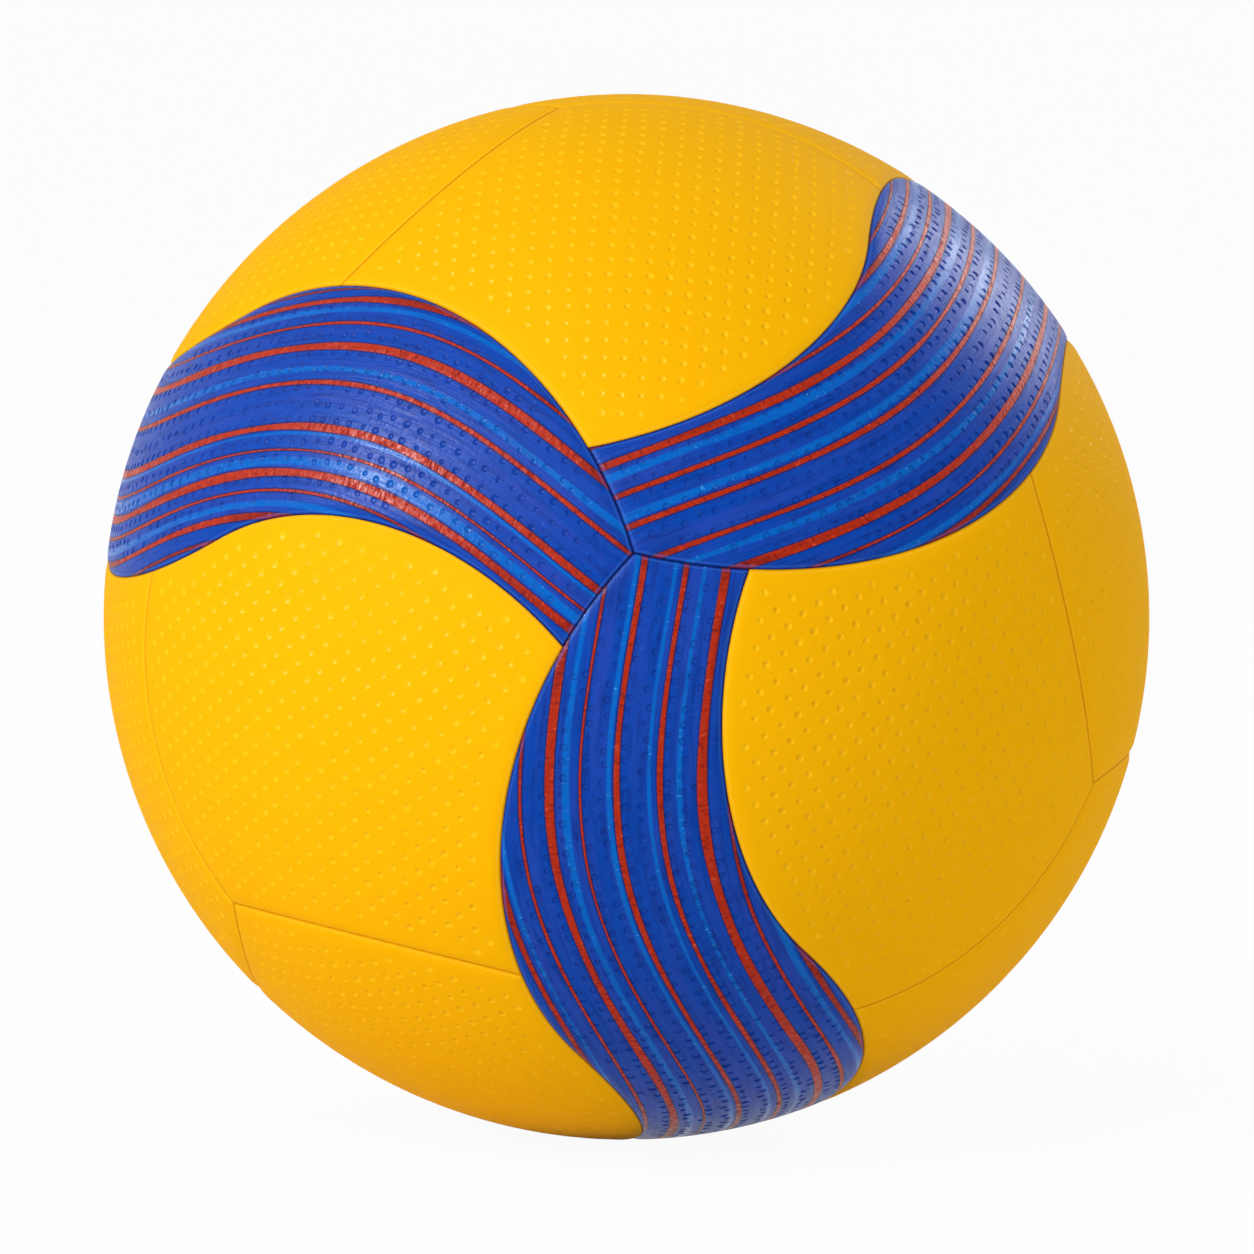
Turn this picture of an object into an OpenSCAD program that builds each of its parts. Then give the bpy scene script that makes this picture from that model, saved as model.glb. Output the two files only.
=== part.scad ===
// Indoor volleyball of eighteen glued panels. Six striped S shaped panels lie
// along the edges of a tetrahedron, and three golden panels meet over each of
// its faces. Under the cover lie the foam backings, a rubber carcass, a winding
// of nylon thread and the bladder with its valve. Millimetres, origin at the
// ball's centre, +Z up as the ball lies in the photograph.

/* [Ball] */
// Outside diameter of the inflated ball, 660 mm round
ball_d = 210; // [200:1:216]
// Thickness of the microfibre skin of a cover panel
skin_t = 1.2; // [1.1:0.1:1.8]
// Thickness of the foam glued behind each skin
foam_t = 2.4; // [1.5:0.1:4]
// Thickness of the rubber carcass that the panels are glued on
carcass_t = 0.6; // [0.4:0.1:2]
// Thickness of the nylon thread wound round the bladder
winding_t = 0.6; // [0.4:0.1:1.5]
// Wall of the butyl bladder
bladder_t = 0.6; // [0.4:0.1:1.6]
// Layer of glue between two layers, and clearance round what is pushed in
glue_t = 0.1; // [0.05:0.01:0.2]

/* [Seams] */
// Width left between two panels at the bottom of a seam
seam_gap = 0.3; // [0.25:0.05:0.6]
// How far the rounded edge of a panel reaches in from its seam
edge_w = 2.2; // [1.5:0.1:3.5]
// How far the rounded edge drops below the ball's surface
edge_h = 0.8; // [0.5:0.05:1]
// Turn of the seam pattern about X
turn_x = 55.5; // [0:0.5:360]
// Turn of the seam pattern about Y
turn_y = 42.5; // [0:0.5:360]
// Turn of the seam pattern about Z
turn_z = 279.5; // [0:0.5:360]

/* [Valve] */
// Diameter of the needle channel in the valve plug
needle_d = 1.8; // [1.6:0.1:2.2]
// Length of the needle channel
needle_l = 11; // [8:0.5:13]
// Diameter of the rubber valve plug
plug_d = 5; // [4:0.1:5.6]
// Length of the valve plug
plug_l = 14; // [13.5:0.5:16]
// Height of the rib that holds the plug in its tube
rib_h = 0.6; // [0.4:0.1:0.8]
// Outside diameter of the valve tube, which shows in the cover
tube_d = 8.4; // [8:0.1:10]
// Length of the valve tube
tube_l = 18; // [17:0.5:22]
// Diameter of the flange bonded inside the bladder
flange_d = 24; // [18:0.5:30]
// Thickness of that flange
flange_t = 1.8; // [1.2:0.1:3]
// How far the valve's face lies below the cover
valve_recess = 0.4; // [0.2:0.05:1]

/* [Hidden] */
$fn = 96;
striped_count = 6;
golden_count = 12;

// Radii of the layers, from the cover inwards
ball_r = ball_d / 2;
skin_r = ball_r - skin_t;
foam_r = skin_r - glue_t - foam_t;
carcass_r = foam_r - glue_t - carcass_t;
winding_r = carcass_r - glue_t - winding_t;
bladder_r = winding_r - glue_t - bladder_t;
// Overrun of cuts past a face
over = 1;
// Rise of the edge's slope above the ball, where the ball's surface trims it
edge_rise = 0.15;
// Rounded edge of a panel: shares of edge_w in from the seam and of edge_h down
edge_shares = [[0, 1], [0.3, 0.36], [1, 0]];
// Lead-in of the needle channel, as a share of its diameter
lead_share = 0.6;
// Radius and height of the valve's face under the cover
tube_r = tube_d / 2;
valve_top = sqrt(ball_r * ball_r - tube_r * tube_r) - valve_recess;
valve_bottom = valve_top - tube_l;
rib_z = valve_top - plug_l / 2;

// Angles of the seam pattern, in degrees on the ball. A seam leaves a knot of
// three striped panels in a wide bend, turns over and ends in a narrow bend.
// Middle of the wide bend, along and across the striped panel
wide_bend_along = -17;
wide_bend_across = -26;
// Sweep of the wide bend from the knot to the turn over
wide_sweep = 93.5;
// Radius of the narrow bend
narrow_bend_r = 35.9;
// Sweep of the wide bend from the knot to the golden seam that meets it
golden_sweep = 74;
// Radius of the golden seam
golden_bend_r = 45;
// Longest straight step along a seam
seam_step = 4.4;

function unit(v) = v / norm(v);
function angle_between(a, b) = acos(a * b);

// Direction v turned about an axis
function turned(v, axis, angle) =
    v * cos(angle) + cross(axis, v) * sin(angle) + axis * (axis * v) * (1 - cos(angle));

// Angle round a centre from direction a to direction b
function sweep_between(centre, a, b) =
    atan2(centre * cross(a, b), a * b - (centre * a) * (centre * b));

// Where the circles of radius ra about a and rb about b cross, on the side of a x b
function crossing(a, ra, b, rb) =
    let (d = a * b)
    let (s = (cos(ra) - d * cos(rb)) / (1 - d * d))
    let (t = (cos(rb) - d * cos(ra)) / (1 - d * d))
    s * a + t * b + sqrt((1 - s * s - t * t - 2 * s * t * d) / (1 - d * d)) * cross(a, b);

// Middle of the circle of radius r through a and b, on the side of b x a
function bend_through(a, b, r) =
    let (between = unit(a + b))
    let (share = cos(r) / (between * a))
    share * between + sqrt(1 - share * share) * unit(cross(b, a));

function half_turned(v, axis) = turned(v, axis, 180);

// The striped panel over +Z runs from its knot to the far knot
middle = [0, 0, 1];
knot = unit([1, 1, 1]);
far_knot = unit([-1, -1, 1]);
golden_knot = unit([-1, 1, 1]);
panel_along = unit([-1, -1, 0]);
panel_across = unit([-1, 1, 0]);

wide_bend = cos(wide_bend_across)
    * (cos(wide_bend_along) * middle + sin(wide_bend_along) * panel_along)
    + sin(wide_bend_across) * panel_across;
wide_bend_r = angle_between(wide_bend, knot);
turn_over = turned(knot, wide_bend, wide_sweep);
narrow_bend = turned(wide_bend, unit(cross(wide_bend, turn_over)), wide_bend_r + narrow_bend_r);
// The seam ends on the wide bend of the next striped panel at the far knot
next_bend = turned(half_turned(wide_bend, middle), far_knot, 120);
seam_end = crossing(narrow_bend, narrow_bend_r, next_bend, wide_bend_r);
// Another seam ends the same way on this one, near its own knot
seam_start = half_turned(turned(seam_end, far_knot, -120), middle);
golden_joint = turned(knot, wide_bend, golden_sweep);
golden_bend = bend_through(golden_knot, golden_joint, golden_bend_r);

// Points of a seam round a bend from a to b, without b
function seam(bend, a, b) =
    let (sweep = sweep_between(bend, a, b))
    let (steps = ceil(abs(sweep) * norm(cross(bend, a)) / seam_step))
    [for (i = [0:steps - 1]) turned(a, bend, sweep * i / steps)];

half_striped = [
    each seam(wide_bend, knot, seam_start),
    each seam(wide_bend, seam_start, golden_joint),
    each seam(wide_bend, golden_joint, turn_over),
    each seam(narrow_bend, turn_over, seam_end),
    each seam(next_bend, seam_end, far_knot),
];
striped_outline = [each half_striped, for (v = half_striped) half_turned(v, middle)];

// A golden panel lies between two golden seams and the S seams that they meet
function round_golden(v) = turned(v, golden_knot, 120);
golden_outline = [
    each seam(golden_bend, golden_knot, golden_joint),
    each seam(wide_bend, golden_joint, seam_start),
    each seam(round_golden(narrow_bend), seam_start, round_golden(turn_over)),
    each seam(round_golden(wide_bend), round_golden(turn_over), round_golden(golden_joint)),
    each seam(round_golden(golden_bend), round_golden(golden_joint), golden_knot),
];

// An outline drawn in on the ball by a distance, with its corners kept sharp
function drawn_in(outline, inset) =
    let (n = len(outline))
    let (reach = inset / ball_r)
    [for (i = [0:n - 1])
        let (before = unit(cross(outline[(i + n - 1) % n], outline[i])))
        let (after = unit(cross(outline[i], outline[(i + 1) % n])))
        unit(outline[i] + reach * (before + after) / (1 + before * after))];

// Walls that stand on an outline, through levels of a radius and an inset each
module walls(outline, levels) {
    n = len(outline);
    top = len(levels) - 1;
    points = [for (level = levels) each level[0] * drawn_in(outline, level[1])];
    inner_face = [for (i = [0:n - 1]) i];
    outer_face = [for (i = [n - 1:-1:0]) top * n + i];
    sides = [for (k = [0:top - 1], i = [0:n - 1])
        [k * n + i, (k + 1) * n + i, (k + 1) * n + (i + 1) % n, k * n + (i + 1) % n]];
    polyhedron(points, [inner_face, outer_face, each sides]);
}

// A hollow sphere, whose poles lie past the two ends of the striped panel over +Z
module shell(inner_r, outer_r) {
    rotate([90, 0, 135]) difference() {
        sphere(outer_r);
        sphere(inner_r);
    }
}

// The seam pattern as the ball lies in the photograph
module lying() {
    rotate([turn_x, turn_y, turn_z]) children();
}

// Carries what is drawn over +Z to the place of panel i: third turns carry
// +Z to +X and +Y, and half turns reach the other sides of the ball
half_turns = [[0, 0, 0], [180, 0, 0], [0, 180, 0], [0, 0, 180]];
module at_place(i) {
    lying() rotate(120 * (i % 3), [1, 1, 1]) rotate(half_turns[floor(i / 3)]) children();
}

// The striped panel that the valve comes through, on the side away from view
valve_place = 4;
module valve_hole() {
    cylinder(h = ball_r + over, r = tube_r + glue_t);
}

// The edge of a skin rises from the seam in two slopes
edge_slope = (edge_shares[2][0] - edge_shares[1][0]) * edge_w
    / ((edge_shares[1][1] - edge_shares[2][1]) * edge_h);
skin_levels = [
    [skin_r - over, seam_gap / 2],
    for (share = [edge_shares[0], edge_shares[1]])
        [ball_r - share[1] * edge_h, seam_gap / 2 + share[0] * edge_w],
    [ball_r + edge_rise, seam_gap / 2 + edge_w + edge_slope * edge_rise],
    [2 * ball_r, seam_gap / 2 + edge_w + edge_slope * edge_rise],
];
foam_levels = [[foam_r - over, seam_gap / 2], [2 * ball_r, seam_gap / 2]];

module skin(outline) {
    intersection() {
        shell(skin_r, ball_r);
        walls(outline, skin_levels);
    }
}

module foam(outline) {
    intersection() {
        shell(foam_r, foam_r + foam_t);
        walls(outline, foam_levels);
    }
}

module striped_panel(i) {
    color("royalblue") at_place(i) difference() {
        skin(striped_outline);
        if (i == valve_place) valve_hole();
    }
}

module golden_panel(i) {
    color("gold") at_place(i) skin(golden_outline);
}

module striped_foam(i) {
    color("lightsteelblue") at_place(i) difference() {
        foam(striped_outline);
        if (i == valve_place) valve_hole();
    }
}

module golden_foam(i) {
    color("khaki") at_place(i) foam(golden_outline);
}

// A closed layer under the cover, open only for the valve
module layer(inner_r, thickness) {
    at_place(valve_place) difference() {
        shell(inner_r, inner_r + thickness);
        valve_hole();
    }
}

module rubber_carcass() {
    color("dimgray") layer(carcass_r, carcass_t);
}

module thread_winding() {
    color("whitesmoke") layer(winding_r, winding_t);
}

module bladder() {
    color("black") layer(bladder_r, bladder_t);
}

// A turned plug with a rib round its middle, grown by a clearance
module plug_form(grow) {
    rotate_extrude() polygon([
        [0, valve_top - plug_l - grow],
        [plug_d / 2 + grow, valve_top - plug_l - grow],
        [plug_d / 2 + grow, rib_z - rib_h - grow],
        [plug_d / 2 + rib_h + grow, rib_z],
        [plug_d / 2 + grow, rib_z + rib_h + grow],
        [plug_d / 2 + grow, valve_top + grow],
        [0, valve_top + grow],
    ]);
}

// Moulded rubber tube with a round flange bonded to the inside of the bladder
module valve_tube() {
    color("darkslategray") at_place(valve_place) difference() {
        union() {
            translate([0, 0, valve_bottom]) cylinder(h = tube_l, r = tube_r);
            intersection() {
                shell(bladder_r - glue_t - flange_t, bladder_r - glue_t);
                cylinder(h = ball_r, d = flange_d);
            }
        }
        plug_form(glue_t);
    }
}

// Rubber plug with the blind channel that the pump's needle is pushed into
module valve_plug() {
    lead_h = needle_d * lead_share;
    color("gray") at_place(valve_place) difference() {
        plug_form(0);
        translate([0, 0, valve_top - needle_l]) cylinder(h = needle_l + over, d = needle_d);
        translate([0, 0, valve_top - lead_h])
            cylinder(h = 2 * lead_h, r1 = needle_d / 2, r2 = needle_d / 2 + 2 * lead_h);
    }
}

bladder();
valve_tube();
valve_plug();
thread_winding();
rubber_carcass();
for (i = [1:striped_count]) {
    striped_foam(i - 1);
    striped_panel(i - 1);
}
for (i = [1:golden_count]) {
    golden_foam(i - 1);
    golden_panel(i - 1);
}
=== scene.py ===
# An indoor volleyball of eighteen glued panels, in the order in which it is
# put together: bladder and valve, thread winding, carcass, foams and skins.
import math

import bpy
import numpy as np
from mathutils import Matrix, Vector, geometry, kdtree


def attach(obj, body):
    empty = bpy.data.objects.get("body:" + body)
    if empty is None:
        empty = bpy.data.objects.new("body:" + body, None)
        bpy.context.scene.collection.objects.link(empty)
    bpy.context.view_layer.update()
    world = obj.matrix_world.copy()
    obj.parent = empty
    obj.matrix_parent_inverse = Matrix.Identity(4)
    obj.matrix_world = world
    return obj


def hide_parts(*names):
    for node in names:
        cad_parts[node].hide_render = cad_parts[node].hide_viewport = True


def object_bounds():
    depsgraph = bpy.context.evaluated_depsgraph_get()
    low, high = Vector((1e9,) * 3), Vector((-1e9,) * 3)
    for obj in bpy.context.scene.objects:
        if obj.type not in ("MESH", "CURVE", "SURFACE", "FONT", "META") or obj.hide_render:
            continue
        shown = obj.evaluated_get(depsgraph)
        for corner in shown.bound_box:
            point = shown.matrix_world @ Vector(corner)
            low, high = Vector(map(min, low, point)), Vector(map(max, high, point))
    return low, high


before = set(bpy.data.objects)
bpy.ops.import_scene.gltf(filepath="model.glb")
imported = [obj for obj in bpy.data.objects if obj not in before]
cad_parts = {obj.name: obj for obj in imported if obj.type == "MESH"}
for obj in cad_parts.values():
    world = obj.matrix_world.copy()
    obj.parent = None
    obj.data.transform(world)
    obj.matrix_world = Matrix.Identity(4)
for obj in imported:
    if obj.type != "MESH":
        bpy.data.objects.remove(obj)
cad_low, cad_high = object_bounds()


# Bladder of butyl rubber, blown up inside the ball. It is moulded in one
# piece and dusted with talc, which leaves it grey and faintly mottled.
class Wire:
    """An output of a node. Sums written on it add Math nodes."""

    def __init__(self, tree, socket):
        self.tree = tree
        self.socket = socket

    def add(self, kind, settings, inputs, output=0):
        """A new node, with its settings set before its inputs, as one of its outputs."""
        made = self.tree.nodes.new(kind)
        for name, value in settings.items():
            setattr(made, name, value)
        for name, value in inputs.items():
            if isinstance(value, Wire):
                self.tree.links.new(value.socket, made.inputs[name])
            else:
                made.inputs[name].default_value = value
        return Wire(self.tree, made.outputs[output])

    def other(self, output):
        """Another output of the same node."""
        return Wire(self.tree, self.socket.node.outputs[output])

    def sum(self, operation, *values, clamp=False):
        """A Math node on values or wires."""
        settings = {"operation": operation, "use_clamp": clamp}
        return self.add("ShaderNodeMath", settings, dict(enumerate(values)))

    def __add__(self, value):
        return self.sum("ADD", self, value)

    def __sub__(self, value):
        return self.sum("SUBTRACT", self, value)

    def __rsub__(self, value):
        return self.sum("SUBTRACT", value, self)

    def __mul__(self, value):
        return self.sum("MULTIPLY", self, value)

    def __truediv__(self, value):
        return self.sum("DIVIDE", self, value)

    def __pow__(self, value):
        return self.sum("POWER", self, value)

    def __abs__(self):
        return self.sum("ABSOLUTE", self)

    __radd__ = __add__

    def most(self, value):
        return self.sum("MAXIMUM", self, value)

    def sine(self):
        return self.sum("SINE", self)

    def clamped(self):
        return self.sum("MULTIPLY", self, 1, clamp=True)

    def mixed(self, low, high):
        """A colour between two, by this factor."""
        settings = {"data_type": "RGBA"}
        return self.add("ShaderNodeMix", settings, {0: self, 6: low, 7: high}, 2)

    def along(self, direction):
        """Length of this vector along a direction."""
        settings = {"operation": "DOT_PRODUCT"}
        return self.add("ShaderNodeVectorMath", settings, {0: self, 1: direction}, "Value")

    def noise(self, scale, detail=2, roughness=0.5):
        """Noise between 0 and 1 at these coordinates."""
        inputs = {"Vector": self, "Scale": scale, "Detail": detail, "Roughness": roughness}
        return self.add("ShaderNodeTexNoise", {}, inputs)


def colour(red, green, blue):
    """A colour from its screen values of 0 to 255, as the renderer's own."""
    shares = [value / 255 for value in (red, green, blue)]
    low = [share / 12.92 for share in shares]
    high = [((share + 0.055) / 1.055) ** 2.4 for share in shares]
    return (*(b if s > 0.04045 else a for s, a, b in zip(shares, low, high)), 1)


def new_material(name):
    """An empty material, its Object coordinates and its shader."""
    material = bpy.data.materials.new(name)
    material.use_nodes = True
    tree = material.node_tree
    places = Wire(tree, tree.nodes.new("ShaderNodeTexCoord").outputs["Object"])
    return material, places, tree.nodes["Principled BSDF"]


def finished(shader, base, rough, height, distance):
    """Links a colour, a roughness and a relief of that height to the shader."""
    links = base.tree.links
    links.new(base.socket, shader.inputs["Base Color"])
    links.new(rough.socket, shader.inputs["Roughness"])
    relief = height.add("ShaderNodeBump", {}, {"Height": height, "Distance": distance})
    links.new(relief.socket, shader.inputs["Normal"])


def carry_over(node, material):
    """Gives a node of the frame its finish."""
    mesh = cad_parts[node].data
    mesh.materials.clear()
    mesh.materials.append(material)


butyl, places, shader = new_material("butyl rubber")
talc = places.noise(60, 5, 0.65)
finished(
    shader,
    (talc * 1.6 - 0.3).clamped().mixed(colour(34, 34, 36), colour(88, 87, 84)),
    0.55 + talc * 0.3,
    places.noise(900, 3),
    0.0001,
)
carry_over("bladder", butyl)


# Valve: a moulded rubber tube, bonded to the inside of the bladder, and the
# plug that is pressed into it. Their ends show in the hole of one panel.
valve_rubber, places, shader = new_material("valve rubber")
dust = places.noise(420, 4, 0.6)
finished(
    shader,
    dust.mixed(colour(30, 30, 32), colour(58, 57, 56)),
    0.5 + dust * 0.25,
    places.noise(2600, 2),
    0.00006,
)
carry_over("valve_tube", valve_rubber)
plug_rubber, places, shader = new_material("plug rubber")
dust = places.noise(520, 4, 0.6)
finished(
    shader,
    dust.mixed(colour(96, 94, 90), colour(134, 131, 124)),
    0.45 + dust * 0.25,
    places.noise(2600, 2),
    0.00006,
)
carry_over("valve_plug", plug_rubber)


# Winding of nylon thread. A machine winds it round the bladder in great
# circles on every side, and latex holds the turns.
thread_width = 0.0007
nylon, places, shader = new_material("nylon thread")
turn_axes = [(1, 0.2, 0.1), (-0.3, 1, 0.2), (0.2, -0.3, 1), (0.7, 0.6, -0.5)]
turns = None
for axis in turn_axes:
    thread = (places.along(Vector(axis).normalized()) * (2 * math.pi / thread_width)).sine()
    turns = thread if turns is None else turns.most(thread)
latex = places.noise(35, 3)
finished(
    shader,
    (latex * 1.5 - 0.25).clamped().mixed(colour(232, 228, 216), colour(206, 196, 170)),
    0.5 + latex * 0.2,
    turns,
    0.00015,
)
carry_over("thread_winding", nylon)


# Carcass: sheets of natural rubber, pressed over the winding and cured in a
# round mould. The panels are glued to it.
carcass_rubber, places, shader = new_material("carcass rubber")
flow = places.noise(28, 4, 0.6)
finished(
    shader,
    flow.mixed(colour(64, 58, 52), colour(92, 84, 74)),
    0.6 + flow * 0.2,
    places.noise(700, 3),
    0.0001,
)
carry_over("rubber_carcass", carcass_rubber)


# Foam backing of each panel, cut to the panel's outline and glued between
# its skin and the carcass, so that the ball is soft to the arms.
foam, places, shader = new_material("backing foam")
cells = places.add("ShaderNodeTexVoronoi", {}, {"Vector": places, "Scale": 2600})
finished(
    shader,
    cells.mixed(colour(226, 222, 208), colour(196, 190, 172)),
    0.85 + cells * 0.1,
    cells,
    0.0002,
)
striped_count = 6
golden_count = 12
for number in range(1, striped_count + 1):
    carry_over(f"striped_foam_{number}", foam)
for number in range(1, golden_count + 1):
    carry_over(f"golden_foam_{number}", foam)


# Cutting pattern of the cover. All panels are cut to two seams: the S seam
# of two bends round a striped panel, and the seam between golden panels.
ball_r = (cad_high.z - cad_low.z) / 2
skin_t = 0.0012
wide_bend_along = -17
wide_bend_across = -26
wide_sweep = 93.5
narrow_bend_r = 35.9
golden_sweep = 74
golden_bend_r = 45
cut_step = 0.0012
millimetre = 0.001


def unit(x, y, z):
    """A direction of length one."""
    return np.array((x, y, z)) / math.hypot(x, y, z)


def turn(axis, degrees):
    """Rotation about an axis."""
    return np.array(Matrix.Rotation(math.radians(degrees), 3, Vector(axis)))


def crossing(a, radius_a, b, radius_b):
    """Where the circles about a and b cross, on the side of a x b."""
    d, cos_a, cos_b = a @ b, math.cos(radius_a), math.cos(radius_b)
    s = (cos_a - d * cos_b) / (1 - d * d)
    t = (cos_b - d * cos_a) / (1 - d * d)
    rise = math.sqrt((1 - s * s - t * t - 2 * s * t * d) / (1 - d * d))
    return s * a + t * b + rise * np.cross(a, b)


def seam(bend, start, end):
    """Directions round a bend from start to end, without the end."""
    sweep = math.atan2(bend @ np.cross(start, end), start @ end - (bend @ start) * (bend @ end))
    reach = abs(sweep) * ball_r * np.linalg.norm(np.cross(bend, start))
    steps = math.ceil(reach / cut_step)
    return [turn(bend, math.degrees(sweep) * i / steps) @ start for i in range(steps)]


def cos_degrees(angle):
    return math.cos(math.radians(angle))


def sin_degrees(angle):
    return math.sin(math.radians(angle))


middle = unit(0, 0, 1)
knot = unit(1, 1, 1)
far_knot = unit(-1, -1, 1)
golden_knot = unit(-1, 1, 1)
panel_along = unit(-1, -1, 0)
panel_across = unit(-1, 1, 0)
wide_bend = (
    cos_degrees(wide_bend_across) * cos_degrees(wide_bend_along) * middle
    + cos_degrees(wide_bend_across) * sin_degrees(wide_bend_along) * panel_along
    + sin_degrees(wide_bend_across) * panel_across
)
wide_bend_r = math.acos(wide_bend @ knot)
turn_over = turn(wide_bend, wide_sweep) @ knot
over_axis = np.cross(wide_bend, turn_over)
narrow_bend = turn(over_axis, math.degrees(wide_bend_r) + narrow_bend_r) @ wide_bend
half_turn = turn(middle, 180)
next_bend = turn(far_knot, 120) @ half_turn @ wide_bend
seam_end = crossing(narrow_bend, math.radians(narrow_bend_r), next_bend, wide_bend_r)
seam_start = half_turn @ turn(far_knot, -120) @ seam_end
golden_joint = turn(wide_bend, golden_sweep) @ knot
between = unit(*(golden_knot + golden_joint))
share = cos_degrees(golden_bend_r) / (between @ golden_knot)
golden_bend = share * between + math.sqrt(1 - share * share) * unit(
    *np.cross(golden_joint, golden_knot)
)
half_striped = (
    seam(wide_bend, knot, seam_start)
    + seam(wide_bend, seam_start, golden_joint)
    + seam(wide_bend, golden_joint, turn_over)
    + seam(narrow_bend, turn_over, seam_end)
    + seam(next_bend, seam_end, far_knot)
)
striped_outline = np.array(half_striped + [half_turn @ v for v in half_striped])
round_golden = turn(golden_knot, 120)
golden_outline = np.array(
    seam(golden_bend, golden_knot, golden_joint)
    + seam(wide_bend, golden_joint, seam_start)
    + seam(round_golden @ narrow_bend, seam_start, round_golden @ turn_over)
    + seam(round_golden @ wide_bend, round_golden @ turn_over, round_golden @ golden_joint)
    + seam(round_golden @ golden_bend, round_golden @ golden_joint, golden_knot)
)
lying = turn((0, 0, 1), 279.5) @ turn((0, 1, 0), 42.5) @ turn((1, 0, 0), 55.5)
half_turns = [np.eye(3), turn((1, 0, 0), 180), turn((0, 1, 0), 180), turn((0, 0, 1), 180)]


def at_place(index):
    """Rotation that carries what is cut over +Z to a panel's place on the ball."""
    return lying @ turn((1, 1, 1), 120 * (index % 3)) @ half_turns[index // 3]


# Skins of the panels. Each is microfibre, 1.2 mm thick, with a pebble of
# round dimples pressed into it, and an edge that rounds down to the seam.
lip_gap = 0.00016
edge_width = 0.003
edge_drop = 0.0005
edge_rows = (0.1, 0.3, 0.6, 1.0, 1.5, 2.1, 2.8)
row_slack = 0.97
dimple_sides = 8
dimple_margin = 0.0034
dimple_fade = 0.003
faintest_dimple = 0.4
hole_sides = 48
lining_pitch = 0.006
inland = 1.0


def drawn_in(outline, inset):
    """An outline drawn in on the ball by a distance."""
    before = np.cross(np.roll(outline, 1, 0), outline)
    after = np.cross(outline, np.roll(outline, -1, 0))
    before /= np.linalg.norm(before, axis=1)[:, None]
    after /= np.linalg.norm(after, axis=1)[:, None]
    level = 1 + (before * after).sum(1)
    moved = outline + inset / ball_r * (before + after) / level[:, None]
    return moved / np.linalg.norm(moved, axis=1)[:, None]


def from_outline(points, outline):
    """Distance of each direction from an outline, along the ball."""
    ends = np.roll(outline, -1, 0) - outline
    spans = (ends * ends).sum(1)
    nearest = np.empty(len(points))
    for i, point in enumerate(points):
        ahead = point - outline
        shares = np.clip((ahead * ends).sum(1) / spans, 0, 1)
        apart = ahead - shares[:, None] * ends
        nearest[i] = (apart * apart).sum(1).min()
    return np.sqrt(nearest) * ball_r


class Chart:
    """A flat drawing of the ball about one direction, true in length from there."""

    def __init__(self, centre, up):
        self.centre = centre
        self.right = unit(*np.cross(up, centre))
        self.up = np.cross(centre, self.right)

    def flat(self, points):
        lengths = np.arccos(np.clip(points @ self.centre, -1, 1))
        x, y = points @ self.right, points @ self.up
        scale = ball_r * lengths / np.maximum(np.hypot(x, y), 1e-12)
        return np.stack((x * scale, y * scale), 1)

    def round(self, flat):
        lengths = np.hypot(flat[:, 0], flat[:, 1])
        angles = lengths / ball_r
        aside = np.sin(angles) / np.maximum(lengths, 1e-12)
        return (
            np.cos(angles)[:, None] * self.centre
            + (flat[:, 0] * aside)[:, None] * self.right
            + (flat[:, 1] * aside)[:, None] * self.up
        )


def inside(flat, loop):
    """Which of the flat points lie inside a closed loop."""
    within = np.zeros(len(flat), bool)
    for a, b in zip(loop, np.roll(loop, -1, 0)):
        spans = (a[1] > flat[:, 1]) != (b[1] > flat[:, 1])
        with np.errstate(divide="ignore", invalid="ignore"):
            x = a[0] + (flat[:, 1] - a[1]) * (b[0] - a[0]) / (b[1] - a[1])
        within ^= spans & (flat[:, 0] < x)
    return within


def triangles(flat, loop_size, hole):
    """Triangles of flat points inside the loop that the first ones make."""
    points = [Vector(point / millimetre) for point in flat]
    loop = [list(range(loop_size))]
    edges = [(hole[i - 1], hole[i]) for i in range(len(hole))]
    made = geometry.delaunay_2d_cdt(points, edges, loop, 1, 1e-5, True)
    kept = [ids[0] for ids in made[3]]
    faces = [[kept[i] for i in face] for face in made[2]]
    walls = set(hole)
    return [face for face in faces if not walls.issuperset(face)]


def grid(reach, pitch_x, pitch_y, lean, angle):
    """Places of a grid: its pitches, the shift of each row, and its turn."""
    count = math.ceil(1.5 * reach / min(pitch_x, pitch_y))
    steps = np.arange(-count, count + 1)
    i, j = np.meshgrid(steps, steps)
    shift = (j * lean) % 1
    x, y = ((i + shift) * pitch_x).ravel(), (j * pitch_y).ravel()
    c, s = cos_degrees(angle), sin_degrees(angle)
    return np.stack((c * x - s * y, s * x + c * y), 1)


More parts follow.
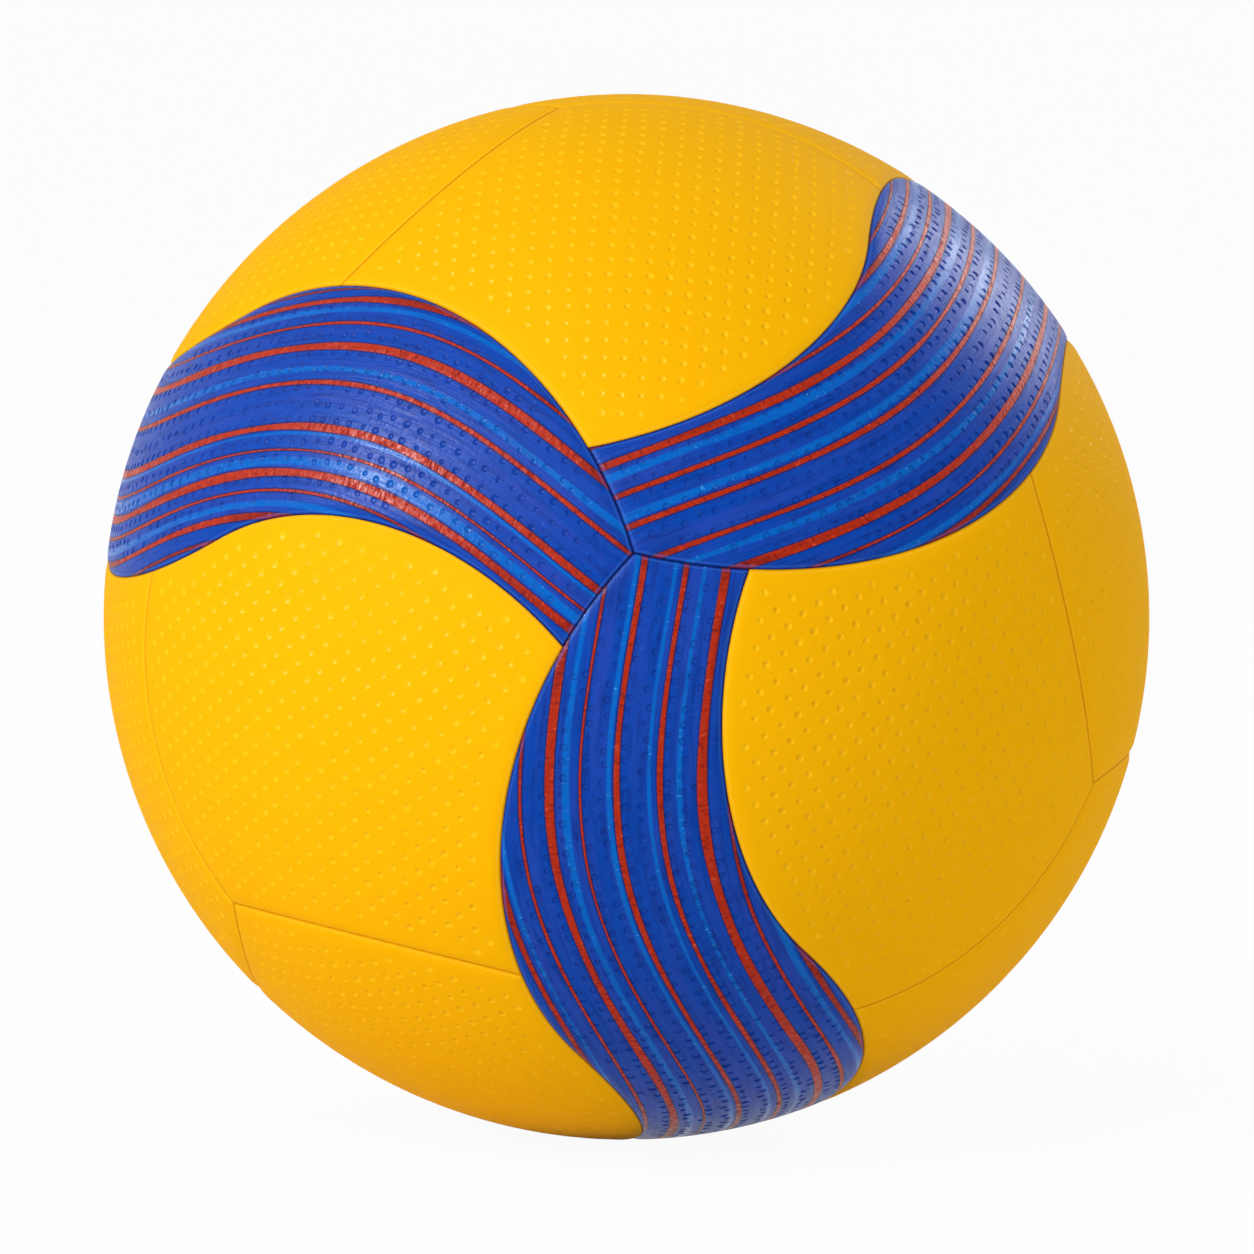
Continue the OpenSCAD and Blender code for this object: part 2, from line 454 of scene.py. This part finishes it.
def panel_mesh(name, outline, chart, centres, dimple_r, hole_r):
    """A panel's plain skin, with the rings that its dimples are pressed in."""
    loop = drawn_in(outline, lip_gap / 2)
    rows = [loop]
    depths = [np.zeros(len(loop))]
    for row in edge_rows:
        inset = row * millimetre
        points = drawn_in(outline, lip_gap / 2 + inset)
        points = points[from_outline(points, outline) > lip_gap / 2 + row_slack * inset]
        rows.append(points)
        depths.append(np.full(len(points), inset))
    hole_size = hole_sides if hole_r else 0
    rim = np.linspace(0, 2 * math.pi, hole_size, endpoint=False)
    hole_ring = hole_r * np.stack((np.cos(rim), np.sin(rim)), 1)
    flat_centres = chart.flat(centres)
    clear = inside(flat_centres, chart.flat(loop))
    centres, flat_centres, dimple_r = centres[clear], flat_centres[clear], dimple_r[clear]
    off = from_outline(centres, outline)
    clear = (off > dimple_margin) & (np.hypot(*flat_centres.T) > hole_r + 2 * dimple_r)
    flat_centres, off, dimple_r = flat_centres[clear], off[clear], dimple_r[clear]
    around = np.linspace(0, 2 * math.pi, dimple_sides, endpoint=False)
    ring = np.stack((np.cos(around), np.sin(around)), 1)
    rings = (flat_centres[:, None] + dimple_r[:, None, None] * ring[None]).reshape(-1, 2)
    flat = np.concatenate([chart.flat(points) for points in rows] + [hole_ring, rings])
    outer = chart.round(flat)
    count, first_ring = len(flat), len(flat) - len(rings)
    hole = list(range(first_ring - hole_size, first_ring))
    faces = triangles(flat, len(loop), hole)
    from_edge = np.full(count, inland)
    from_edge[: first_ring - hole_size] = np.concatenate(depths)
    fade = np.clip((off - dimple_margin) / dimple_fade, 0, 1)
    fade = fade * (1 - faintest_dimple) + faintest_dimple
    pressed = []
    dimple_ids = []
    for face in faces:
        owners = {(i - first_ring) // dimple_sides for i in face}
        own = owners.pop()
        in_ring = own >= 0 and not owners
        pressed.append(float(fade[own]) if in_ring else 0.0)
        dimple_ids.append(own if in_ring else 0)

    # The wall down to the lining, and the lining itself
    size = len(loop)
    lining_flat = grid(ball_r, lining_pitch, lining_pitch, 0.5, 0)
    lining_round = chart.round(lining_flat[np.hypot(*lining_flat.T) < ball_r])
    clear = inside(chart.flat(lining_round), chart.flat(drawn_in(outline, lining_pitch / 2)))
    lining_flat = chart.flat(lining_round[clear])
    lining_flat = lining_flat[np.hypot(*lining_flat.T) > hole_r + lining_pitch / 2]
    under_flat = np.concatenate((chart.flat(loop), hole_ring, lining_flat))
    under_hole = list(range(size, size + hole_size))
    under = triangles(under_flat, size, under_hole)
    vertices = np.concatenate((outer * ball_r, chart.round(under_flat) * (ball_r - skin_t)))
    from_edge = np.concatenate((from_edge, np.full(len(under_flat), inland)))
    skin_faces = len(faces)
    for top, low in ((list(range(size)), list(range(size))), (hole, under_hole)):
        for i in range(len(top)):
            faces.append([top[i - 1], count + low[i - 1], count + low[i], top[i]])
    faces += [[count + i for i in reversed(face)] for face in under]
    mesh = bpy.data.meshes.new(name)
    mesh.from_pydata(vertices, [], faces)
    mesh.attributes.new("from_edge", "FLOAT", "POINT").data.foreach_set("value", from_edge)
    pressed += [0.0] * (len(faces) - skin_faces)
    mesh.attributes.new("pressed", "FLOAT", "FACE").data.foreach_set("value", pressed)
    dimple_ids += [0] * (len(faces) - skin_faces)
    mesh.attributes.new("dimple_id", "INT", "FACE").data.foreach_set("value", dimple_ids)
    smooth = [i < skin_faces for i in range(len(faces))]
    mesh.polygons.foreach_set("use_smooth", smooth)
    return mesh


# The tree rounds the edge, presses each ring down into a dimple with a
# shoulder and a floor, and notes where each point lies on its panel.
press = bpy.data.node_groups.new("pressed skin", "GeometryNodeTree")
press_inputs = {}
for label, kind, value in (
    ("Skin", "NodeSocketGeometry", None),
    ("Edge width", "NodeSocketFloat", edge_width),
    ("Edge drop", "NodeSocketFloat", edge_drop),
    ("Edge power", "NodeSocketFloat", 3.0),
    ("Shoulder share", "NodeSocketFloat", 0.88),
    ("Floor share", "NodeSocketFloat", 0.55),
    ("Dimple depth", "NodeSocketFloat", 0.0003),
    ("Least depth share", "NodeSocketFloat", 0.8),
    ("Seed", "NodeSocketInt", 1),
    ("Middle", "NodeSocketVector", None),
    ("Along", "NodeSocketVector", None),
    ("Material", "NodeSocketMaterial", None),
):
    item = press.interface.new_socket(label, in_out="INPUT", socket_type=kind)
    if value is not None:
        item.default_value = value
    press_inputs[label] = item.identifier
press.interface.new_socket("Skin", in_out="OUTPUT", socket_type="NodeSocketGeometry")
group = press.nodes.new("NodeGroupInput")


def given(label):
    return Wire(press, group.outputs[label])


def stored(data_type, name):
    """Reads an attribute of the skin."""
    settings = {"data_type": data_type}
    return given("Skin").add("GeometryNodeInputNamedAttribute", settings, {"Name": name})


def vector_sum(operation, first, second, output="Vector"):
    settings = {"operation": operation}
    return given("Skin").add("ShaderNodeVectorMath", settings, {0: first, 1: second}, output)


def scaled_vector(vector, scale):
    settings = {"operation": "SCALE"}
    return vector.add("ShaderNodeVectorMath", settings, {0: vector, "Scale": scale})


position = given("Skin").add("GeometryNodeInputPosition", {}, {})
outwards = vector_sum("NORMALIZE", position, (0, 0, 0))
inward_share = (1 - stored("FLOAT", "from_edge") / given("Edge width")).most(0)
drop = inward_share ** given("Edge power") * given("Edge drop")
rounded = given("Skin").add(
    "GeometryNodeSetPosition",
    {},
    {"Geometry": given("Skin"), "Offset": scaled_vector(outwards, drop * -1)},
)
depth_share = stored("FLOAT", "pressed")
in_ring = depth_share.add(
    "FunctionNodeCompare", {"data_type": "FLOAT", "operation": "GREATER_THAN"}, {0: depth_share, 1: 0.0}
)
own_share = given("Skin").add(
    "FunctionNodeRandomValue",
    {"data_type": "FLOAT"},
    {2: given("Least depth share"), 3: 1.0, "ID": stored("INT", "dimple_id"), "Seed": given("Seed")},
    1,
)
shoulder = rounded.add(
    "GeometryNodeExtrudeMesh",
    {"mode": "FACES"},
    {"Mesh": rounded, "Selection": in_ring, "Offset Scale": 0.0, "Individual": False},
)
narrowed = shoulder.add(
    "GeometryNodeScaleElements",
    {"domain": "FACE"},
    {
        "Geometry": shoulder,
        "Selection": shoulder.other("Top"),
        "Scale": given("Shoulder share"),
    },
)
pushed = narrowed.add(
    "GeometryNodeExtrudeMesh",
    {"mode": "FACES"},
    {
        "Mesh": narrowed,
        "Selection": shoulder.other("Top"),
        "Offset Scale": depth_share * own_share * given("Dimple depth") * -1,
        "Individual": False,
    },
)
floored = pushed.add(
    "GeometryNodeScaleElements",
    {"domain": "FACE"},
    {
        "Geometry": pushed,
        "Selection": pushed.other("Top"),
        "Scale": given("Floor share"),
    },
)
marked = floored.add(
    "GeometryNodeStoreNamedAttribute",
    {"data_type": "FLOAT", "domain": "FACE"},
    {
        "Geometry": floored,
        "Name": "dimple_part",
        "Value": pushed.other("Side") * 0.5 + pushed.other("Top"),
    },
)
across = vector_sum("CROSS_PRODUCT", given("Along"), given("Middle"))
to_middle = vector_sum("DOT_PRODUCT", outwards, given("Middle"), "Value")
to_along = vector_sum("DOT_PRODUCT", outwards, given("Along"), "Value")
to_across = vector_sum("DOT_PRODUCT", outwards, across, "Value")
place_along = to_along.sum("ARCTAN2", to_along, to_middle)
place_across = to_across.sum("ARCSINE", to_across)
place = position.add(
    "ShaderNodeCombineXYZ",
    {},
    {"X": place_along, "Y": place_across, "Z": stored("FLOAT", "from_edge")},
)
noted = marked.add(
    "GeometryNodeStoreNamedAttribute",
    {"data_type": "FLOAT_VECTOR", "domain": "POINT"},
    {"Geometry": marked, "Name": "panel_place", "Value": place},
)
whole = noted.add("GeometryNodeRealizeInstances", {}, {"Geometry": noted})
dressed = whole.add(
    "GeometryNodeSetMaterial", {}, {"Geometry": whole, "Material": given("Material")}
)
group_output = press.nodes.new("NodeGroupOutput")
press.links.new(dressed.socket, group_output.inputs[0])


def pressed_panel(name, mesh, values):
    """Presses a skin with the tree, and keeps the result as a plain mesh."""
    panel = bpy.data.objects.new(name, mesh)
    bpy.context.scene.collection.objects.link(panel)
    modifier = panel.modifiers.new("press", "NODES")
    modifier.node_group = press
    for label, value in values.items():
        modifier[press_inputs[label]] = value
    seen = panel.evaluated_get(bpy.context.evaluated_depsgraph_get())
    result = bpy.data.meshes.new_from_object(seen)
    panel.modifiers.remove(modifier)
    panel.data = result
    result.name = name
    bpy.data.meshes.remove(mesh)
    return panel


def fitted(panel, node):
    """Puts a skin in the place of its node."""
    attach(panel, "root")
    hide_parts(node)


# Golden panels: twelve of them, three round each golden knot. Their dimples
# stand on a square grid, which lies askew as the panel was cut.
golden_pitch = 0.0039
golden_stray = 0.00015
golden_dimple_r = 0.0009
golden_dimple_depth = 0.00042
golden_dimple_sizes = (0.85, 1.1)
golden_turns = [-20, -15, -41, 12, 30, -30, 8, -25, -15, 40, -35, 20]
golden_reach = 0.08
lip_place = 0.0005


def beside_edge(from_edge, place, width):
    """A band along the edge of a panel, which fades out over a width on each side."""
    return (1 - abs(from_edge - place) * (1 / width)).clamped()


golden, places, shader = new_material("golden microfibre")
attribute = places.add("ShaderNodeAttribute", {"attribute_name": "panel_place"}, {}, "Vector")
parts = places.add("ShaderNodeSeparateXYZ", {}, {"Vector": attribute})
from_edge = parts.other("Z")
tone = places.noise(16, 3, 0.55)
grain = places.noise(1500, 4, 0.6)

# Golden leather, with painted highlights in the dimples and on the lip, and painted shade down in the
# seam
leather = tone.mixed(colour(251, 185, 6), colour(247, 179, 4))
leather = (grain * 0.25).mixed(leather, colour(238, 168, 4))
pressed_part = places.add("ShaderNodeAttribute", {"attribute_name": "dimple_part"}, {}, "Fac")
dimple = (pressed_part * 2).clamped()
# Paler paint in the dimples is a painted highlight
leather = (dimple * 0.45).mixed(leather, colour(255, 204, 22))
# A pale band along the lip is a painted highlight, where the rounded edge catches light
lip = beside_edge(from_edge, lip_place, 0.00035)
leather = (lip * 0.2).mixed(leather, colour(255, 214, 70))
# Darker paint down in the seam is painted shade
in_seam = beside_edge(from_edge, 0, 0.00035)
leather = (in_seam * 0.7).mixed(leather, colour(214, 142, 4))
finished(shader, leather, 0.5 + grain * 0.16, grain + places.noise(5200, 2) * 0.4, 0.00005)
shader.inputs["Specular IOR Level"].default_value = 0.01
leather.tree.links.new((dimple * 0.1).socket, shader.inputs["Coat Weight"])
shader.inputs["Coat Roughness"].default_value = 0.3

golden_centre = unit(*golden_outline.sum(0))
golden_chart = Chart(golden_centre, golden_knot - golden_centre)
for index in range(golden_count):
    number = index + 1
    flat = grid(golden_reach, golden_pitch, golden_pitch, 0, golden_turns[index])
    flat = flat[np.hypot(*flat.T) < golden_reach]
    rng = np.random.default_rng(number)
    flat += rng.uniform(-1, 1, flat.shape) * golden_stray
    dimple_r = golden_dimple_r * rng.uniform(*golden_dimple_sizes, len(flat))
    centres = golden_chart.round(flat)
    name = f"golden_skin_{number}"
    mesh = panel_mesh(name, golden_outline, golden_chart, centres, dimple_r, 0)
    spin = at_place(index)
    mesh.transform(Matrix(spin).to_4x4())
    values = {
        "Dimple depth": golden_dimple_depth,
        "Seed": number,
        "Middle": tuple(spin @ golden_centre),
        "Along": tuple(spin @ golden_chart.right),
        "Material": golden,
    }
    panel = pressed_panel(name, mesh, values)
    fitted(panel, f"golden_panel_{number}")


# Striped panels: six of them, printed with red and light blue stripes that
# run in one long wave from knot to knot. Their dimples follow the stripes.
waves = [(8.5, 4, 22.5), (8.8, 3.7, 24.3), (10.3, 3.2, 22)]
striped_pitch = (0.0032, 0.0039)
striped_lean = 0.2
striped_stray = 0.0005
striped_dimple_r = 0.0009
striped_dimple_sizes = (0.7, 1.15)
striped_dimple_depth = 0.00024
striped_dimple_spacing = 2.4
striped_reach = 0.12
striped_half_width = 0.04
print_margin = 0.0007
layouts = [
    (
        ("light", 21.6, 1.3),
        ("light", 7.8, 1.4),
        ("light", -6.2, 0.7),
        ("light", -11.9, 2.2),
        ("light", -20.8, 1.4),
        ("red", 26.9, 0.5),
        ("red", 24.0, 1.5),
        ("red", 18.3, 0.6),
        ("red", 13.0, 1.8),
        ("red", 4.8, 1.0),
        ("red", -4.8, 1.6),
        ("red", -9.7, 0.5),
        ("red", -14.3, 1.8),
        ("red", -18.1, 0.55),
        ("red", -23.3, 1.3),
        ("red", -27.4, 0.6),
    ),
    (
        ("light", 23.6, 0.8),
        ("light", 10.8, 1.3),
        ("light", 2.5, 0.9),
        ("light", -5.2, 0.8),
        ("light", -11.0, 1.0),
        ("light", -24.2, 1.3),
        ("red", 25.5, 1.6),
        ("red", 19.7, 0.7),
        ("red", 14.0, 1.7),
        ("red", 8.0, 0.5),
        ("red", 1.0, 1.1),
        ("red", -7.3, 1.1),
        ("red", -15.4, 1.9),
        ("red", -20.5, 0.7),
        ("red", -26.5, 1.3),
    ),
    (
        ("light", 24.7, 1.2),
        ("light", 11.7, 1.3),
        ("light", -1.1, 1.8),
        ("light", -9.8, 1.9),
        ("light", -20.6, 1.7),
        ("red", 26.3, 1.1),
        ("red", 21.0, 0.65),
        ("red", 16.2, 1.6),
        ("red", 8.6, 1.0),
        ("red", 0.9, 1.1),
        ("red", -5.7, 1.1),
        ("red", -12.4, 1.7),
        ("red", -17.0, 0.7),
        ("red", -22.6, 1.2),
        ("red", -26.4, 0.5),
    ),
]


def stripe_wave(length, rise, turns, crest):
    """How far a stripe lies across the panel, at an angle along it."""
    start = math.radians(turns * crest)
    return rise * (np.cos(turns * length + start) - math.cos(start)) * millimetre


def striped_finish(name, stripes, rise, turns, crest):
    """Microfibre printed with these stripes: kind, place and width in millimetres."""
    material, places, shader = new_material(name)
    attribute = places.add("ShaderNodeAttribute", {"attribute_name": "panel_place"}, {}, "Vector")
    parts = places.add("ShaderNodeSeparateXYZ", {}, {"Vector": attribute})
    length = parts.other("X")
    from_edge = parts.other("Z")
    bend = length * turns + math.radians(turns * crest)
    wave = (bend.sum("COSINE", bend) - cos_degrees(turns * crest)) * rise
    drift = places.noise(14, 1) - 0.5
    along = length * (ball_r / millimetre)
    flow = parts.other("Y") * (ball_r / millimetre) - wave + drift * 1.2
    run = places.add("ShaderNodeCombineXYZ", {}, {"X": along * 0.1, "Y": flow, "Z": 0.0})
    nap = places.add("ShaderNodeCombineXYZ", {}, {"X": along * 1.3, "Y": flow * 0.45, "Z": 0.0})

    # Streaks run along the stripes and fine marks across them
    streak = run.noise(0.9, 3, 0.6)
    tint = run.noise(0.3, 1)
    swell = run.noise(0.22, 1)
    marks = nap.noise(1.1, 3, 0.7)
    masks = {"light": None, "red": None, "outline": None}
    soft = {"light": 0.3, "red": 0.12}

    def merged(kind, mask):
        masks[kind] = mask if masks[kind] is None else masks[kind].most(mask)

    for kind, offset, width in stripes:
        apart = abs(flow - offset)
        half = (swell * 1.6 + 0.12) * (width / 2)
        depth = half - apart + (marks - 0.5) * 0.25
        merged(kind, (depth * (1 / soft[kind]) + 0.5).clamped())
        if kind == "red":
            merged("outline", ((depth + 0.25) * (1 / soft[kind]) + 0.5).clamped())

    # Blue ground, the light stripes with painted glints on them and on the blue, and a dark line round
    # the red
    tone = places.noise(20, 3, 0.6)
    grain = places.noise(1500, 4, 0.6)
    leather = tone.mixed(colour(2, 60, 160), colour(6, 72, 176))
    leather = ((tint * 3 - 1.2).clamped() * 0.4).mixed(leather, colour(52, 68, 172))
    leather = (streak * 3 - 1.4).clamped().mixed(leather, colour(6, 44, 130))
    light = masks["light"] * (2.0 - streak * 2).clamped()
    leather = light.mixed(leather, colour(0, 98, 192))
    # Pale flecks on the light stripes and on the blue are painted glints
    painted_glint = (marks * 12 - 7.4).clamped()
    leather = (painted_glint * light * 0.5).mixed(leather, colour(90, 176, 236))
    leather = (painted_glint * 0.15).mixed(leather, colour(90, 130, 220))
    leather = (masks["outline"] * 0.75).mixed(leather, colour(20, 20, 60))

    # Red stripes, worn and cracked, darker towards the edge of the panel, and with painted glints
    near_edge = beside_edge(from_edge, 0, 0.004)
    red = (streak * 0.8 + near_edge * 0.7).clamped().mixed(colour(194, 48, 8), colour(140, 30, 18))
    crack = (4.4 - marks * 10).clamped()
    red = (crack * 0.7).mixed(red, colour(90, 20, 28))
    # Pale orange flecks on the red are painted glints
    red = (painted_glint * 0.45).mixed(red, colour(238, 110, 70))
    leather = masks["red"].mixed(leather, red)

    # Painted highlight along the lip, a darker navy line down in the seam, and painted shade on the
    # walls of the dimples
    # The pale lip is a painted highlight
    lip = beside_edge(from_edge, lip_place, 0.0003)
    leather = (lip * 0.35).mixed(leather, colour(60, 112, 205))
    in_seam = beside_edge(from_edge, 0, 0.0003)
    leather = (in_seam * 0.8).mixed(leather, colour(8, 22, 84))
    pressed_part = places.add("ShaderNodeAttribute", {"attribute_name": "dimple_part"}, {}, "Fac")
    wall = 1 - abs(pressed_part * 2 - 1)
    # Darker paint on the walls of the dimples is painted shade
    leather = (wall * 0.4).mixed(leather, colour(6, 30, 110))

    # Light stripes are the glossiest, and the red ones have flecks that glitter
    rough = 0.34 - marks * 0.2 + streak * 0.2 + crack * 0.2 + wall * 0.3
    printed = masks["red"]
    rough = rough - light * 0.12 - printed * (marks - 0.5) * 0.6
    relief = marks * (printed * 1.6 + 0.9) - crack * (printed * 0.5 + 0.2)
    relief = relief + streak * 2 + grain * (printed * 2 + 0.5)
    finished(shader, leather, rough, relief, 0.00006)
    shader.inputs["Specular IOR Level"].default_value = 0.06
    shader.inputs["Coat Roughness"].default_value = 0.3
    ink_shine = printed * (marks * 10 - 5).clamped() * 0.2
    material.node_tree.links.new(ink_shine.socket, shader.inputs["Coat Weight"])
    return material


def clear_of_print(flat, stripes):
    """Moves dimples off the red stripes, and keeps those that are clear of others."""
    for kind, offset, width in stripes:
        if kind == "red":
            apart = flat[:, 1] - offset * millimetre
            least = width / 2 * millimetre + print_margin
            moved = offset * millimetre + np.where(apart < 0, -least, least)
            flat[:, 1] = np.where(abs(apart) < least, moved, flat[:, 1])
    places = kdtree.KDTree(len(flat))
    for i, point in enumerate(flat):
        places.insert((*point, 0), i)
    places.balance()
    kept = []
    dropped = set()
    for i, point in enumerate(flat):
        if i not in dropped:
            kept.append(point)
            near = places.find_range((*point, 0), striped_dimple_spacing * striped_dimple_r)
            dropped.update(found[1] for found in near)
    return np.array(kept)


finishes = [
    striped_finish(f"striped microfibre {i + 1}", layouts[i], *waves[i]) for i in range(3)
]
striped_chart = Chart(middle, panel_across)
valve_index = 4
valve_hole_r = 0.0043
for index in range(striped_count):
    number = index + 1
    flat = grid(striped_reach, *striped_pitch, striped_lean, 0)
    clear = (abs(flat[:, 0]) < striped_reach) & (abs(flat[:, 1]) < striped_half_width)
    flat = flat[clear]
    rng = np.random.default_rng(number)
    flat += rng.uniform(-1, 1, flat.shape) * striped_stray
    flat = clear_of_print(flat, layouts[index % 3])
    dimple_r = striped_dimple_r * rng.uniform(*striped_dimple_sizes, len(flat))
    length = flat[:, 0] / ball_r
    height = (flat[:, 1] + stripe_wave(length, *waves[index % 3])) / ball_r
    centres = (
        (np.cos(height) * np.cos(length))[:, None] * middle
        + (np.cos(height) * np.sin(length))[:, None] * panel_along
        + np.sin(height)[:, None] * panel_across
    )
    hole_r = valve_hole_r if index == valve_index else 0
    name = f"striped_skin_{number}"
    mesh = panel_mesh(name, striped_outline, striped_chart, centres, dimple_r, hole_r)
    spin = at_place(index)
    mesh.transform(Matrix(spin).to_4x4())
    values = {
        "Dimple depth": striped_dimple_depth,
        "Least depth share": 0.5,
        "Seed": number,
        "Middle": tuple(spin @ middle),
        "Along": tuple(spin @ panel_along),
        "Material": finishes[index % 3],
    }
    panel = pressed_panel(name, mesh, values)
    fitted(panel, f"striped_panel_{number}")


# Camera at the photograph's angle, almost level with the ball, and a long
# lens, so that the ball nearly fills the frame.
camera_distance = 1.809
camera_elevation = math.radians(5)
sensor_width = 36
camera_data = bpy.data.cameras.new("camera")
camera_data.sensor_width = sensor_width
camera_data.lens = 258.2
camera_data.shift_x = 0.0004
camera_data.shift_y = -0.0081
camera_data.clip_end = 200
camera = bpy.data.objects.new("camera", camera_data)
camera.location = (
    0,
    -camera_distance * math.cos(camera_elevation),
    camera_distance * math.sin(camera_elevation),
)
camera.rotation_euler = (math.pi / 2 - camera_elevation, 0, 0)
bpy.context.scene.collection.objects.link(camera)
bpy.context.scene.camera = camera


# Studio: a white floor, a small key lamp on the left, a large soft one in
# front and a fill on the right. Two more light only the gloss of the skins:
# one draws the glint on the left band and one the sheen at the upper right.
floor_size = 60
floor_mesh = bpy.data.meshes.new("floor")
corners = [(-1, -1), (1, -1), (1, 1), (-1, 1)]
floor_mesh.from_pydata(
    [(x * floor_size / 2, y * floor_size / 2, cad_low.z) for x, y in corners], [], [(0, 1, 2, 3)]
)
floor = bpy.data.objects.new("floor", floor_mesh)
bpy.context.scene.collection.objects.link(floor)
paper = bpy.data.materials.new("white paper")
paper.use_nodes = True
paper_tree = paper.node_tree
paper_shader = paper_tree.nodes["Principled BSDF"]
paper_shader.inputs["Base Color"].default_value = (0.9, 0.9, 0.9, 1)
paper_shader.inputs["Roughness"].default_value = 0.9


def background_rays(tree):
    """Light paths that see the white background: the camera's and the reflected ones."""
    path = Wire(tree, tree.nodes.new("ShaderNodeLightPath").outputs["Is Camera Ray"])
    seen = path + path.other("Is Glossy Ray") + path.other("Is Transmission Ray")
    return seen.clamped()


seen = background_rays(paper_tree)
glow = seen.add("ShaderNodeEmission", {}, {"Color": (1, 1, 1, 1), "Strength": 1.0})
paper_mix = seen.add(
    "ShaderNodeMixShader",
    {},
    {0: seen * 0.95, 1: Wire(paper_tree, paper_shader.outputs[0]), 2: glow},
)
paper_tree.links.new(paper_mix.socket, paper_tree.nodes["Material Output"].inputs["Surface"])
floor_mesh.materials.append(paper)

world = bpy.data.worlds.new("studio")
bpy.context.scene.world = world
world.use_nodes = True
world_tree = world.node_tree
sky = world_tree.nodes["Background"]
sky.inputs["Color"].default_value = (1, 1, 1, 1)
ambient = 0.52
seen = background_rays(world_tree)
world_tree.links.new((seen * (1 - ambient) + ambient).socket, sky.inputs["Strength"])


def softbox(name, place, width, height, power):
    """An area lamp that faces the ball."""
    data = bpy.data.lights.new(name, "AREA")
    data.shape = "RECTANGLE"
    data.size = width
    data.size_y = height
    data.energy = power
    lamp = bpy.data.objects.new(name, data)
    lamp.location = place
    lamp.rotation_euler = (-Vector(place)).to_track_quat("-Z", "Y").to_euler()
    bpy.context.scene.collection.objects.link(lamp)
    return lamp


softbox("key", (-1.38, -1.25, 0.95), 0.3, 0.5, 16)
softbox("front", (-0.7, -1.55, 1.3), 1.0, 1.0, 11)
softbox("glint", (-1.61, -0.83, 1.06), 0.4, 0.25, 70).visible_diffuse = False
softbox("sheen", (1.25, 1.45, 1.1), 1.0, 1.0, 27).visible_diffuse = False
softbox("fill", (1.8, 0.6, 0.5), 0.6, 0.6, 5.5).visible_glossy = False

bpy.context.scene.view_settings.view_transform = "Standard"
